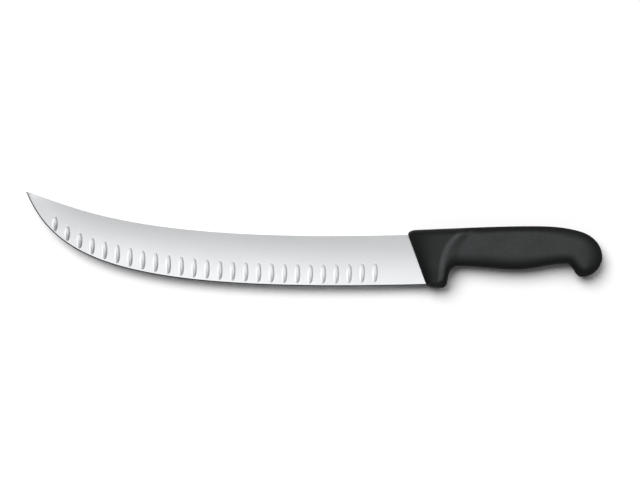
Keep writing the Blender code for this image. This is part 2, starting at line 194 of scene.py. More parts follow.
# %% [markdown]
# ## Light
#
# Two wide sun lamps light the knife, the stronger one high on the upper left. It gives the shadow
# that falls to the lower right: its angle sets how soft the shadow is, its tilt how far it reaches.
# The weaker one, on the upper right, keeps the shadow from being all on one side. A lamp near by
# would fade across so long a knife, and sun lamps light the whole floor evenly.
#
# The two are hidden from mirrored rays, because the steel gets surroundings of its own below.

# %% Two wide soft lights, each with its tilt, its turn in plan and its strength
SUN_ANGLE = 36.0
SUNS = {"key_light": (32.0, 130.0, 0.75), "side_light": (32.0, 60.0, 0.13)}

for name, (tilt, turn, strength) in SUNS.items():
    lamp = bpy.data.lights.new(name, "SUN")
    lamp.angle = math.radians(SUN_ANGLE)
    lamp.energy = strength * math.pi / math.cos(math.radians(tilt))
    sun = bpy.data.objects.new(name, lamp)
    sun_from = heading(turn) * math.sin(math.radians(tilt))
    sun_from.z = math.cos(math.radians(tilt))
    sun.location = sun_from
    sun.rotation_euler = sun_from.to_track_quat("Z", "Y").to_euler()
    sun.visible_camera = False
    sun.visible_glossy = False
    bpy.context.scene.collection.objects.link(sun)
    print(name, "brings a level white sheet to", strength, "of white")

# %% [markdown]
# ## Surroundings
#
# Polished steel shows its surroundings more than its own colour, so what the steel sees matters as
# much as the lamps do. Cards and panels could be modelled, but each would also light the rest and
# show in other views. Here the surroundings are drawn in the world by direction: X, Y and Z are the
# parts of the way that a mirrored ray goes, so X = Y = 0 is straight overhead.
#
# A long panel hangs overhead. Towards the edge side it is bright, towards the spine dimmer, and the
# border between the two turns a little, which gives the flat faces their slanted shading. The right
# side glows more. The panel fades towards all its ends, and its left corner on the edge side is left
# out, so that the bevel stays dark round the curve of the tip.

# %% The panel overhead
PANEL_BRIGHT = 1.23
PANEL_DIM = 0.57
BORDER = (-0.023, -0.083)
BORDER_TURN = 0.48
BORDER_TURN_RUN = (-0.10, 0.05)
RIGHT_BRIGHT = 1.38
RIGHT_RUN = (0.06, 0.30)
CORNER_X = (-0.26, -0.40)
CORNER_Y = (-0.14, -0.24)

# Each end has an axis, the places where its fade is over and where it starts, the share of the
# light that it keeps, and whether the fade is eased.
PANEL_ENDS = {
    "edge side": ("Y", -0.40, -0.11, 0.0, True),
    "spine side": ("Y", 0.30, 0.0, 0.65, False),
    "left": ("X", -0.30, -0.12, 0.62, True),
    "far left": ("X", -0.80, -0.30, 0.44, False),
    "right": ("X", 0.95, 0.55, 0.30, True),
}

world = bpy.data.worlds.new("studio")
world.use_nodes = True
world.node_tree.nodes.clear()
bpy.context.scene.world = world
sky = Graph(world.node_tree)
towards = sky.parts(sky.add("ShaderNodeTexCoord").outputs["Generated"])

turned = sky.math("MULTIPLY", sky.ramp(towards["X"], *BORDER_TURN_RUN, *BORDER_TURN_RUN), BORDER_TURN)
across = sky.math("ADD", towards["Y"], turned)
panel = sky.ramp(across, *BORDER, PANEL_DIM, PANEL_BRIGHT, ease=True)
panel = sky.blend(sky.ramp(towards["X"], *RIGHT_RUN, ease=True), panel, RIGHT_BRIGHT)
for axis, faded, full, kept, eased in PANEL_ENDS.values():
    panel = sky.math("MULTIPLY", panel, sky.ramp(towards[axis], faded, full, kept, 1.0, eased))
left_out = sky.math("MULTIPLY", sky.ramp(towards["X"], *CORNER_X), sky.ramp(towards["Y"], *CORNER_Y))
panel = sky.math("MULTIPLY", panel, sky.math("SUBTRACT", 1.0, left_out))
print("the panel overhead has", len(PANEL_ENDS), "faded ends and a corner left out")

# %% [markdown]
# Where the panel ends, a dark grey flag deepens the thin dark line of the bevel. Round it all stands
# a studio wall, darker on the left and higher behind the spine, so that a blade that is looked at
# from the side still changes tone along its length. The horizon is as white as the floor.

# %% A flag, the studio wall and the horizon
FLAG_LEVEL = 0.20
WALL_LEFT = 0.30
WALL_RIGHT = 0.85
WALL_RUN = (-0.6, 0.6)
WALL_TOP = (0.80, 0.70)
WALL_TOP_RISE = 0.30
HORIZON_LEVEL = 1.02
HORIZON = (0.06, 0.02)

higher = sky.ramp(towards["Y"], 0.0, 1.0, 0.0, WALL_TOP_RISE)
under_top = sky.ramp(sky.math("SUBTRACT", towards["Z"], higher), *WALL_TOP, ease=True)
wall = sky.ramp(towards["X"], *WALL_RUN, WALL_LEFT, WALL_RIGHT)
wall = sky.math("MULTIPLY", wall, under_top)
horizon = sky.ramp(towards["Z"], *HORIZON, 0.0, HORIZON_LEVEL, ease=True)
level = panel
for part in (FLAG_LEVEL, wall, horizon):
    level = sky.math("MAXIMUM", level, part)
print("the wall's level runs from", WALL_LEFT, "on the left to", WALL_RIGHT, "on the right")

# %% [markdown]
# One world serves three kinds of ray. The camera sees plain white. A mirrored ray, or one through
# glass, sees the panel and the wall. Every other ray only fills the shadows, low and even, so that
# the drawn surroundings don't light the knife a second time.

# %% What the camera, the steel and the shadows see
FILL_LEVEL = 0.12
FILL_TINT = (1.0, 1.0, 1.0, 1.0)
STUDIO_TINT = (0.985, 0.993, 1.0, 1.0)

path = sky.add("ShaderNodeLightPath").outputs
mirrored = sky.math("MAXIMUM", path["Is Glossy Ray"], path["Is Transmission Ray"])
seen = sky.math("MAXIMUM", path["Is Camera Ray"], mirrored)
level = sky.blend(path["Is Camera Ray"], level, HORIZON_LEVEL)
fill = sky.add("ShaderNodeBackground", {"Color": FILL_TINT, "Strength": FILL_LEVEL})
shown = sky.add("ShaderNodeBackground", {"Color": STUDIO_TINT, "Strength": level})
either = sky.add("ShaderNodeMixShader", {0: seen, 1: fill.outputs[0], 2: shown.outputs[0]})
sky.add("ShaderNodeOutputWorld", {"Surface": either.outputs[0]})
print("nodes in the world:", len(world.node_tree.nodes))

# %% [markdown]
# ## Floor
#
# The background is a white sweep. Its own colour makes it white to the camera, and a darker shade of
# it is used for the light that it throws back at the knife, so that nothing is lit from below.

# %% Colour of the white sweep, as it is seen and as it throws light back
FLOOR_SEEN = 1.02
FLOOR_BOUNCE = 0.80

white = bpy.data.materials.new("white_sweep")
white.use_nodes = True
white.node_tree.nodes.clear()
sheet = Graph(white.node_tree)
path = sheet.add("ShaderNodeLightPath").outputs
seen = sheet.math("MAXIMUM", path["Is Camera Ray"], path["Is Glossy Ray"])
seen = sheet.math("MAXIMUM", seen, path["Is Transmission Ray"])
tone = sheet.ramp(seen, 0.0, 1.0, FLOOR_BOUNCE, FLOOR_SEEN)
matt = sheet.add("ShaderNodeBsdfDiffuse", {"Color": sheet.xyz(tone, tone, tone)})
sheet.add("ShaderNodeOutputMaterial", {"Surface": matt.outputs[0]})
print("the floor is seen at", FLOOR_SEEN, "and throws back", FLOOR_BOUNCE)

# %% The sweep itself, which takes the knife's shadow
FLOOR_HALF = 20.0
FLOOR_GAP = 0.0001

form = bmesh.new()
corners = [(-1, -1), (1, -1), (1, 1), (-1, 1)]
form.faces.new([form.verts.new((x * FLOOR_HALF, y * FLOOR_HALF, -FLOOR_GAP)) for x, y in corners])
floor_mesh = bpy.data.meshes.new("floor")
form.to_mesh(floor_mesh)
form.free()
floor_mesh.materials.append(white)
floor = bpy.data.objects.new("floor", floor_mesh)
bpy.context.scene.collection.objects.link(floor)
print("the floor lies", 1000 * FLOOR_GAP, "millimetres under the knife")

# %% [markdown]
# ## Finishes that several surfaces share
#
# Three effects turn up on more than one surface, so each is a node group with its own inputs:
# *drawn lines*, the fine straight marks that a grinding belt leaves; *haze*, a slow change in polish
# that keeps a large surface from looking printed; and *pebbles*, the tiny round bumps of a
# spark-eroded mould. Every material below sets them to its own size and strength. They read Object
# coordinates in metres, so a grain of half a millimetre is half a millimetre everywhere.

# %% Drawn lines: noise that is fine across the belt's way and stretched along it
FLOAT = "NodeSocketFloat"
VECTOR = "NodeSocketVector"
LINE_INPUTS = [("Vector", VECTOR, None), ("Line Width", FLOAT, 0.0002), ("Stretch", FLOAT, 60.0)]


def effect(name, inputs, outputs):
    """An empty shader group with named sockets, and the graph that draws in it."""
    tree = bpy.data.node_groups.new(name, "ShaderNodeTree")
    for label, kind, value in inputs:
        socket = tree.interface.new_socket(name=label, in_out="INPUT", socket_type=kind)
        if value is not None:
            socket.default_value = value
    for label in outputs:
        tree.interface.new_socket(name=label, in_out="OUTPUT", socket_type=FLOAT)
    graph = Graph(tree)
    return tree, graph, graph.add("NodeGroupInput").outputs, graph.add("NodeGroupOutput").inputs


drawn_lines, graph, given, result = effect("drawn_lines", LINE_INPUTS, ["Lines"])
per_metre = graph.math("DIVIDE", 1.0, given["Line Width"])
lengthways = graph.math("DIVIDE", per_metre, given["Stretch"])
spot = graph.vector("MULTIPLY", given["Vector"], graph.xyz(per_metre, lengthways, per_metre))
noise = graph.add("ShaderNodeTexNoise", {"Vector": spot, "Scale": 1.0, "Detail": 3.0, "Roughness": 0.6})
graph.feed(result["Lines"], noise.outputs["Fac"])
print(drawn_lines.name, "has", len(drawn_lines.nodes), "nodes")

# %% Haze: slow noise, spread over the whole range from 0 to 1
NOISE_RANGE = (0.3, 0.7)
HAZE_INPUTS = [("Vector", VECTOR, None), ("Patch Size", FLOAT, 0.02)]

haze, graph, given, result = effect("haze", HAZE_INPUTS, ["Haze"])
spot = graph.scaled(given["Vector"], graph.math("DIVIDE", 1.0, given["Patch Size"]))
noise = graph.add("ShaderNodeTexNoise", {"Vector": spot, "Scale": 1.0, "Detail": 4.0, "Roughness": 0.55})
graph.feed(result["Haze"], graph.ramp(noise.outputs["Fac"], *NOISE_RANGE))
print(haze.name, "has", len(haze.nodes), "nodes")

# %% Pebbles: small domes with grit on them, and the hollows between them
PEBBLE_INPUTS = [("Vector", VECTOR, None), ("Pebble Size", FLOAT, 0.0006)]
DOME_REACH = 0.75
GRIT_SCALE = 2.2
GRIT_SHARE = 0.5
HOLLOW_REACH = 0.55

pebbles, graph, given, result = effect("pebbles", PEBBLE_INPUTS, ["Height", "Hollows"])
spot = graph.scaled(given["Vector"], graph.math("DIVIDE", 1.0, given["Pebble Size"]))
cells = graph.add("ShaderNodeTexVoronoi", {"Vector": spot, "Scale": 1.0}, feature="SMOOTH_F1")
grit = graph.add("ShaderNodeTexNoise", {"Vector": spot, "Scale": GRIT_SCALE, "Detail": 3.0})
domes = graph.ramp(cells.outputs["Distance"], 0.0, DOME_REACH, 1.0, 0.0, ease=True)
height = graph.math("MULTIPLY_ADD", grit.outputs["Fac"], GRIT_SHARE, domes)
graph.feed(result["Height"], height)
graph.feed(result["Hollows"], graph.ramp(domes, 0.0, HOLLOW_REACH, 1.0, 0.0))
print(pebbles.name, "has", len(pebbles.nodes), "nodes")

# %% [markdown]
# ## Steel
#
# Blade steel is one metal in three finishes. The faces are ground across the blade and glazed to a
# satin; the flutes are cut by a fine wheel and their tint is a little darker; the cutting bevel is
# honed, and its tint is made much darker, a painted shade that stands in for the dark reflection that
# shows the bevel as a thin dark line. Metal has no colour under its shine, so Metallic is 1 and the
# base colour is the reflection's tint. The look comes from roughness, which the grinding lines and
# the haze both disturb.

# %% One recipe for every finish of the steel
STEEL = (0.850, 0.856, 0.867)
LINE_STRETCH = 70.0
LINE_SHADE = 0.985
STEEL_PATCH = 0.03


def place(graph, tree, inputs):
    """Puts a shared effect into a material."""
    node = graph.add("ShaderNodeGroup", node_tree=tree)
    for name, value in inputs.items():
        graph.feed(node.inputs[name], value)
    return node.outputs


def surface(name):
    """A material with its shader, and the graph that draws in it."""
    material = bpy.data.materials.new(name)
    material.use_nodes = True
    graph = Graph(material.node_tree)
    spot = graph.add("ShaderNodeTexCoord").outputs["Object"]
    return material, graph, material.node_tree.nodes["Principled BSDF"].inputs, spot


def steel(name, shade, roughness, line_width, line_contrast, line_height, haze_contrast):
    material, graph, shader, spot = surface(name)
    shader["Metallic"].default_value = 1.0
    line_inputs = {"Vector": spot, "Line Width": line_width, "Stretch": LINE_STRETCH}
    lines = place(graph, drawn_lines, line_inputs)["Lines"]
    patches = place(graph, haze, {"Vector": spot, "Patch Size": STEEL_PATCH})["Haze"]
    streaks = graph.ramp(lines, *NOISE_RANGE, -line_contrast, line_contrast)
    clouds = graph.ramp(patches, 0.0, 1.0, -haze_contrast, haze_contrast)
    change = graph.math("ADD", streaks, clouds)
    graph.feed(shader["Roughness"], graph.math("ADD", change, roughness))
    brightness = graph.ramp(lines, *NOISE_RANGE, LINE_SHADE * shade, shade)
    graph.feed(shader["Base Color"], graph.scaled(STEEL, brightness))
    bump = graph.add("ShaderNodeBump", {"Height": lines, "Distance": line_height, "Strength": 1.0})
    graph.feed(shader["Normal"], bump.outputs["Normal"])
    print(name, "has roughness", roughness, "and", shade, "of the steel's tint")
    return material


# %% Steel in three finishes
face_steel = steel(
    "ground_face_steel",
    shade=1.0,
    roughness=0.16,
    line_width=0.00016,
    line_contrast=0.03,
    line_height=0.0000004,
    haze_contrast=0.015,
)
flute_steel = steel(
    "flute_steel",
    shade=0.96,
    roughness=0.18,
    line_width=0.00012,
    line_contrast=0.02,
    line_height=0.0000003,
    haze_contrast=0.01,
)
# The bevel's tint is painted much darker: a painted shade for the dark reflection that shows the bevel
# as a thin line.
edge_steel = steel(
    "painted_dark_edge_steel",
    shade=0.22,
    roughness=0.14,
    line_width=0.00008,
    line_contrast=0.03,
    line_height=0.0000004,
    haze_contrast=0.01,
)

# %% [markdown]
# ## Blade body
#
# The blade is a rule more than a shape. Two long curves, the spine and the cutting edge, run from
# the handle to the tip. At each station along them the same section is drawn: a rounded spine, a
# face that thins towards the edge with a slight crown, and a short steep bevel. Geometry Nodes suit
# that well: a flat grid is the raw stock, its columns become stations and its rows the points of
# the section, and one formula moves each point to its place.

# %% The blade's two long sides, in metres and degrees from the handle's front corner
BLADE_REACH = 0.2895
TIP_RISE = 0.0318
HEEL_DEPTH = 0.0389
SPINE_SINK = 0.00095
FRONT_START = -0.0004
FRONT_LEAN = 20.0
SPINE_DIP_ANGLE = 1.66
SPINE_TIP_ANGLE = 16.9
EDGE_DIP_ANGLE = 1.60
EDGE_TIP_ANGLE = 67.0
SPINE_PULLS = (0.716, 0.1398)
EDGE_PULLS = (0.7366, 0.1855)


def front_x(y):
    """The handle's front face in plan: its place at height y."""
    return FRONT_START - y * math.tan(math.radians(FRONT_LEAN))


def blade_side(drop, dip, tip_angle, pulls):
    """The four control points of one long side of the blade, from the front face to the tip."""
    start = Vector((front_x(-drop), -drop, 0.0))
    tip = Vector((-BLADE_REACH, TIP_RISE, 0.0))
    chord = (tip - start).length
    leave = start + heading(180.0 + dip) * pulls[0] * chord
    arrive = tip - heading(180.0 - tip_angle) * pulls[1] * chord
    return start, leave, arrive, tip


spine_side = blade_side(SPINE_SINK, SPINE_DIP_ANGLE, SPINE_TIP_ANGLE, SPINE_PULLS)
edge_side = blade_side(HEEL_DEPTH, EDGE_DIP_ANGLE, EDGE_TIP_ANGLE, EDGE_PULLS)
for name, (start, *_, tip) in {"spine": spine_side, "edge": edge_side}.items():
    print(name, "from heel to tip in millimetres:", round(1000 * (tip - start).length, 1))

# %% Sizes of the blade's section in metres, its curvature per metre, and its steps
SECTION_SIZES = {
    "Spine Thickness": 0.0025,
    "Point Thickness": 0.0009,
    "Land Thickness": 0.0005,
    "Bevel Width": 0.0009,
    "Spine Round": 0.00025,
    "Face Curvature": 1.1,
}
SHOULDER_DEPTH = 0.006
BLADE_STATIONS = 200
SPINE_STEPS = 1
ROUND_STEPS = 4
FACE_STEPS = 20
BEVEL_STEPS = 3
HALF_STEPS = SPINE_STEPS + ROUND_STEPS + FACE_STEPS + BEVEL_STEPS
SECTION_POINTS = 2 * HALF_STEPS + 1
print("points round one section:", SECTION_POINTS, "at", BLADE_STATIONS + 1, "stations")

# %% Helpers for geometry trees
GEOMETRY = "NodeSocketGeometry"
WHOLE = "NodeSocketInt"
MATERIAL = "NodeSocketMaterial"
OBJECT = "NodeSocketObject"
CURVE_POINTS = ("Start", "Leave", "Arrive", "Tip")
CURVE_SOCKETS = ("Start", "Start Handle", "End Handle", "End")
CURVE_STEPS = 256


def geometry_tree(name, inputs):
    """An empty geometry tree with named inputs, the graph that draws in it, and what it is given."""
    tree = bpy.data.node_groups.new(name, "GeometryNodeTree")
    tree.is_modifier = True
    for label, kind in inputs:
        tree.interface.new_socket(name=label, in_out="INPUT", socket_type=kind)
    tree.interface.new_socket(name="Geometry", in_out="OUTPUT", socket_type=GEOMETRY)
    graph = Graph(tree)
    return tree, graph, graph.add("NodeGroupInput").outputs


def side_curve(graph, given, side):
    """One long side of the blade as a curve, from its four control points."""
    inputs = {socket: given[f"{side} {point}"] for socket, point in zip(CURVE_SOCKETS, CURVE_POINTS)}
    inputs["Resolution"] = CURVE_STEPS
    return graph.add("GeometryNodeCurvePrimitiveBezierSegment", inputs, mode="POSITION").outputs[0]


def curve_place(graph, curve, mode, value):
    """A place on a curve, at a share of its length (mode FACTOR) or after some of it (mode LENGTH)."""
    reader = graph.add("GeometryNodeSampleCurve", {"Curves": curve, mode.title(): value}, mode=mode)
    return reader.outputs["Position"]


print("each long side of the blade is drawn in", CURVE_STEPS, "steps")

# %% The blade's tree: its inputs, and the flat grid that is its raw stock
spine_inputs = [(f"Spine {point}", VECTOR) for point in CURVE_POINTS]
edge_inputs = [(f"Edge {point}", VECTOR) for point in CURVE_POINTS]
section_inputs = [(label, FLOAT) for label in SECTION_SIZES]
station_inputs = [("Stations", WHOLE), ("Shoulder", VECTOR)]
steel_inputs = [("Face Steel", MATERIAL), ("Edge Steel", MATERIAL)]
blade_inputs = spine_inputs + edge_inputs + section_inputs + station_inputs + steel_inputs
grind_tree, graph, given = geometry_tree("blade_grind", blade_inputs)

columns = graph.math("ADD", given["Stations"], 3.0)
grid = {"Size X": 1.0, "Size Y": 1.0, "Vertices X": columns, "Vertices Y": SECTION_POINTS}
stock = graph.add("GeometryNodeMeshGrid", grid).outputs["Mesh"]
index = graph.add("GeometryNodeInputIndex").outputs[0]
# The grid counts down one column after the other. Half a step more keeps rounding out of the division.
column = graph.math("DIVIDE", graph.math("ADD", index, 0.5), float(SECTION_POINTS))
column = graph.math("FLOOR", column)
row = graph.math("SUBTRACT", index, graph.math("MULTIPLY", column, float(SECTION_POINTS)))
print("named inputs of the blade's tree:", len(blade_inputs))

# %% [markdown]
# Two columns of the grid are kept for the short shoulder inside the handle, and the others are
# spread evenly along both curves. At its station, a point knows the top and the bottom of the
# section. Near the tip the section gets so low that its sizes no longer fit, so thickness and bevel
# are held to a share of its depth, and the rounding and the land to a share of its thickness.

# %% Each station's top and bottom, and the sizes that fit there
MOST_THICKNESS = 0.5
MOST_BEVEL = 0.3
MOST_ROUND = 0.25
MOST_LAND = 0.6

share = graph.ramp(column, 2.0, graph.math("ADD", given["Stations"], 2.0))
top = curve_place(graph, side_curve(graph, given, "Spine"), "FACTOR", share)
bottom = curve_place(graph, side_curve(graph, given, "Edge"), "FACTOR", share)
span = graph.vector("SUBTRACT", bottom, top)
depth = graph.add("ShaderNodeVectorMath", {0: span}, operation="LENGTH").outputs["Value"]
down = graph.vector("NORMALIZE", span)

thickness = graph.ramp(share, 0.0, 1.0, given["Spine Thickness"], given["Point Thickness"])
thickness = graph.math("MINIMUM", thickness, graph.math("MULTIPLY", depth, MOST_THICKNESS))
rounding = graph.math("MINIMUM", given["Spine Round"], graph.math("MULTIPLY", thickness, MOST_ROUND))
bevel_width = graph.math("MINIMUM", given["Bevel Width"], graph.math("MULTIPLY", depth, MOST_BEVEL))
land = graph.math("MINIMUM", given["Land Thickness"], graph.math("MULTIPLY", thickness, MOST_LAND))
face_width = graph.math("SUBTRACT", graph.math("SUBTRACT", depth, rounding), bevel_width)
print("nodes in the blade's tree so far:", len(grind_tree.nodes))

# %% How far down the section each point is: over the round, the face and the bevel
from_middle = graph.math("ABSOLUTE", graph.math("SUBTRACT", row, float(HALF_STEPS)))
step = graph.math("SUBTRACT", float(HALF_STEPS), from_middle)
on_spine = graph.ramp(step, 0.0, SPINE_STEPS)
on_round = graph.ramp(step, SPINE_STEPS, SPINE_STEPS + ROUND_STEPS, 0.0, math.pi / 2)
on_face = graph.ramp(step, SPINE_STEPS + ROUND_STEPS, HALF_STEPS - BEVEL_STEPS)
on_bevel = graph.ramp(step, HALF_STEPS - BEVEL_STEPS, HALF_STEPS)

drop = graph.math("MULTIPLY", rounding, graph.math("SUBTRACT", 1.0, graph.math("COSINE", on_round)))
drop = graph.math("MULTIPLY_ADD", face_width, on_face, drop)
drop = graph.math("MULTIPLY_ADD", bevel_width, on_bevel, drop)
print("steps down each side of the section:", HALF_STEPS)

# %% How far out from the blade's middle plane each point is
# The crown is a shallow arc. At a share s of the way down the face, it stands out by s(1 - s) times
# the face's width squared times half the curvature.
half_thickness = graph.math("MULTIPLY", thickness, 0.5)
half_land = graph.math("MULTIPLY", land, 0.5)
thinning = graph.math("SUBTRACT", half_thickness, half_land)
bulge = graph.math("MULTIPLY", on_face, graph.math("SUBTRACT", 1.0, on_face))
bulge = graph.math("MULTIPLY", bulge, graph.math("MULTIPLY", face_width, face_width))
bulge = graph.math("MULTIPLY", bulge, graph.math("MULTIPLY", given["Face Curvature"], 0.5))

half = graph.math("MULTIPLY", graph.math("SUBTRACT", half_thickness, rounding), on_spine)
half = graph.math("MULTIPLY_ADD", rounding, graph.math("SINE", on_round), half)
half = graph.math("SUBTRACT", half, graph.math("MULTIPLY", thinning, on_face))
half = graph.math("ADD", half, bulge)
half = graph.math("SUBTRACT", half, graph.math("MULTIPLY", half_land, on_bevel))
print("nodes in the blade's tree so far:", len(grind_tree.nodes))

# %% Move the grid's points there, with the first two columns as the shoulder's closed end
open_end = graph.math("GREATER_THAN", column, 0.5)
shoulder_end = graph.math("LESS_THAN", column, 1.5)
side_sign = graph.math("SIGN", graph.math("SUBTRACT", float(HALF_STEPS), row))
lift = graph.math("MULTIPLY", graph.math("MULTIPLY", half, side_sign), open_end)
inward = graph.scaled(given["Shoulder"], shoulder_end)
spot = graph.vector("ADD", graph.vector("ADD", top, graph.scaled(down, drop)), inward)
spot = graph.vector("ADD", spot, graph.xyz(0.0, 0.0, lift))
ground = graph.add("GeometryNodeSetPosition", {"Geometry": stock, "Position": spot}).outputs[0]
print("nodes in the blade's tree so far:", len(grind_tree.nodes))

# %% Weld the seams, shade, and give the faces and the bevel their steel
MERGE_GAP = 0.000001
BEVEL_MARK = 0.01

marked = graph.add(
    "GeometryNodeStoreNamedAttribute",
    {"Geometry": ground, "Name": "bevel", "Value": on_bevel},
    data_type="FLOAT",
    domain="POINT",
).outputs[0]
joined = graph.add("GeometryNodeMergeByDistance", {"Geometry": marked, "Distance": MERGE_GAP}).outputs[0]
polished = graph.add("GeometryNodeSetShadeSmooth", {0: joined}).outputs[0]
whole = graph.add("GeometryNodeRealizeInstances", {"Geometry": polished}).outputs[0]
faces = {"Geometry": whole, "Material": given["Face Steel"]}
dressed = graph.add("GeometryNodeSetMaterial", faces).outputs[0]
bevel_mark = graph.add("GeometryNodeInputNamedAttribute", {"Name": "bevel"}, data_type="FLOAT")
is_bevel = graph.math("GREATER_THAN", bevel_mark.outputs["Attribute"], BEVEL_MARK)
bevels = {"Geometry": dressed, "Selection": is_bevel, "Material": given["Edge Steel"]}
dressed = graph.add("GeometryNodeSetMaterial", bevels).outputs[0]
graph.add("NodeGroupOutput", {"Geometry": dressed})
print("nodes in the blade's tree:", len(grind_tree.nodes))

# %% [markdown]
# ## From a tree to a plain mesh
#
# A geometry tree runs as a modifier on an object, and its inputs are set by their identifiers. The
# export needs plain meshes at the origin, so the result is read back from the evaluated object, and
# the object with its modifier is thrown away. The grid folds round into a closed tube, so its faces
# are turned outwards afterwards.

# %% Helpers that run a tree and keep its result


def shown_object(name, mesh):
    result = bpy.data.objects.new(name, mesh)
    bpy.context.scene.collection.objects.link(result)
    return result


def baked(item):
    """The item's mesh as its modifiers leave it, without the item."""
    bpy.context.view_layer.update()
    graph = bpy.context.evaluated_depsgraph_get()
    mesh = bpy.data.meshes.new_from_object(item.evaluated_get(graph), depsgraph=graph)
    bpy.data.objects.remove(item)
    return mesh


def run_tree(name, tree, values):
    """Sets a tree's inputs by their identifiers, runs it on an empty object and bakes the result."""
    item = shown_object(name, bpy.data.meshes.new(name))
    step = item.modifiers.new(name, "NODES")
    step.node_group = tree
    identifiers = {
        socket.name: socket.identifier
        for socket in tree.interface.items_tree
        if socket.item_type == "SOCKET" and socket.in_out == "INPUT"
    }
    for label, value in values.items():
        step[identifiers[label]] = value
    return baked(item)


def turned_out(mesh):
    """Points every face of a closed mesh outwards."""
    form = bmesh.new()
    form.from_mesh(mesh)
    bmesh.ops.recalc_face_normals(form, faces=form.faces)
    form.to_mesh(mesh)
    form.free()
    return mesh


def curve_values(side, points):
    """The four control points of one side of the blade, under the names of a tree's inputs."""
    return {f"{side} {label}": tuple(point) for label, point in zip(CURVE_POINTS, points)}


# %% The blade before its flutes are cut
blade_values = {
    **curve_values("Spine", spine_side),
    **curve_values("Edge", edge_side),
    **SECTION_SIZES,
    "Stations": BLADE_STATIONS,
    "Shoulder": tuple(heading(SPINE_DIP_ANGLE) * SHOULDER_DEPTH),
    "Face Steel": face_steel,
    "Edge Steel": edge_steel,
}
blade_body = shown_object("blade_body", turned_out(run_tree("blade_body", grind_tree, blade_values)))
print("blade before its flutes:", len(blade_body.data.polygons), "faces")

# %% [markdown]
# ## Flutes
#
# A row of shallow hollows keeps slices from sticking. A round-edged wheel grinds them one after the
# other, at an even pitch, on one face and then, half a pitch on, on the other. They follow the
# cutting edge, run out shorter towards the tip and rise a little at the heel.
#
# In nodes, each flute is an ellipsoid that dips into the face. A line of points steps along the
# spine's curve by the pitch. For each, a ray fired in from the edge's side finds the cutting edge, and
# a second ray fired down finds the face and its slope, so every flute sits square on the metal.

# %% Sizes of the flutes, in metres
FLUTE_PITCH = 0.0098
FLUTE_HEEL_GAP = 0.0251
FLUTE_SIZES = {
    "Pitch": FLUTE_PITCH,
    "Length": 0.0158,
    "Tip Length": 0.0116,
    "Tip Run": 0.060,
    "Tip Gap": 0.0228,
    "Width": 0.0043,
    "Depth": 0.00035,
    "Edge Gap": 0.0015,
    "Heel Rise": 0.0009,
    "Heel Run": 0.035,
    "Heel Gap": FLUTE_HEEL_GAP,
    "Wheel Rise": 0.0012,
}
for label in ("Length", "Width", "Depth"):
    print("a flute's", label.lower(), "in millimetres:", round(1000 * FLUTE_SIZES[label], 2))

# %% The flutes' tree: its inputs, and a point for each flute along the spine
row_inputs = [("Blade", OBJECT), ("Side", FLOAT), ("First", FLOAT), ("Steel", MATERIAL)]
flute_inputs = spine_inputs + row_inputs + [(label, FLOAT) for label in FLUTE_SIZES]
flute_tree, graph, given = geometry_tree("flute_row", flute_inputs)

target = graph.add("GeometryNodeObjectInfo", {"Object": given["Blade"]}).outputs["Geometry"]
spine = side_curve(graph, given, "Spine")
whole_length = graph.add("GeometryNodeCurveLength", {"Curve": spine}).outputs["Length"]
last = graph.math("SUBTRACT", whole_length, given["Tip Gap"])
room = graph.math("DIVIDE", graph.math("SUBTRACT", last, given["First"]), given["Pitch"])
count = graph.math("ADD", graph.math("FLOOR", room), 1.0)
row_points = graph.add("GeometryNodeMeshLine", {"Count": count}, mode="OFFSET").outputs[0]
number = graph.add("GeometryNodeInputIndex").outputs[0]
along = graph.math("MULTIPLY_ADD", number, given["Pitch"], given["First"])
x = graph.parts(curve_place(graph, spine, "LENGTH", along))["X"]
print("named inputs of the flutes' tree:", len(flute_inputs))

# %% Rays that find the cutting edge over a place
RAY_START = 0.2
RAY_HEIGHT = 0.00002
RAY_LENGTH = 1.0


def fired(start, direction):
    """A ray at the blade: where it hits and how the metal faces there."""
    ray = {"Target Geometry": target, "Source Position": start, "Ray Direction": direction}
    ray["Ray Length"] = RAY_LENGTH
    return graph.add("GeometryNodeRaycast", ray).outputs


def edge_height(at):
    """How high the cutting edge is over a place along the blade."""
    hit = fired(graph.xyz(at, -RAY_START, RAY_HEIGHT), (0.0, 1.0, 0.0))["Hit Position"]
    return graph.parts(hit)["Y"]


half_width = graph.math("MULTIPLY", given["Width"], 0.5)
ahead = edge_height(graph.math("SUBTRACT", x, half_width))
behind = edge_height(graph.math("ADD", x, half_width))
slope = graph.math("DIVIDE", graph.math("SUBTRACT", ahead, behind), given["Width"])
lean = graph.math("SQRT", graph.math("MULTIPLY_ADD", slope, slope, 1.0))
gap = graph.math("MULTIPLY", given["Edge Gap"], lean)
print("nodes in the flutes' tree so far:", len(flute_tree.nodes))

# %% Each flute's length, and its place on the face
heel_end = graph.math("ADD", given["Heel Gap"], given["Heel Run"])
rise = graph.ramp(along, given["Heel Gap"], heel_end, given["Heel Rise"], 0.0, ease=True)
tip_start = graph.math("SUBTRACT", last, given["Tip Run"])
length = graph.ramp(along, tip_start, last, given["Length"], given["Tip Length"], ease=True)
lowest = graph.math("ADD", graph.math("ADD", edge_height(x), gap), rise)
centre = graph.math("MULTIPLY_ADD", length, 0.5, lowest)

above_face = graph.xyz(x, centre, graph.math("MULTIPLY", given["Side"], RAY_START))
straight_down = graph.xyz(0.0, 0.0, graph.math("MULTIPLY", given["Side"], -1.0))
face_hit = fired(above_face, straight_down)
settled = {"Geometry": row_points, "Position": face_hit["Hit Position"]}
sitting = graph.add("GeometryNodeSetPosition", settled).outputs[0]
print("nodes in the flutes' tree so far:", len(flute_tree.nodes))

# %% One ellipsoid, whose cap under the face is as wide, as long and as deep as a flute
WHEEL_SEGMENTS = 40
WHEEL_RINGS = 28

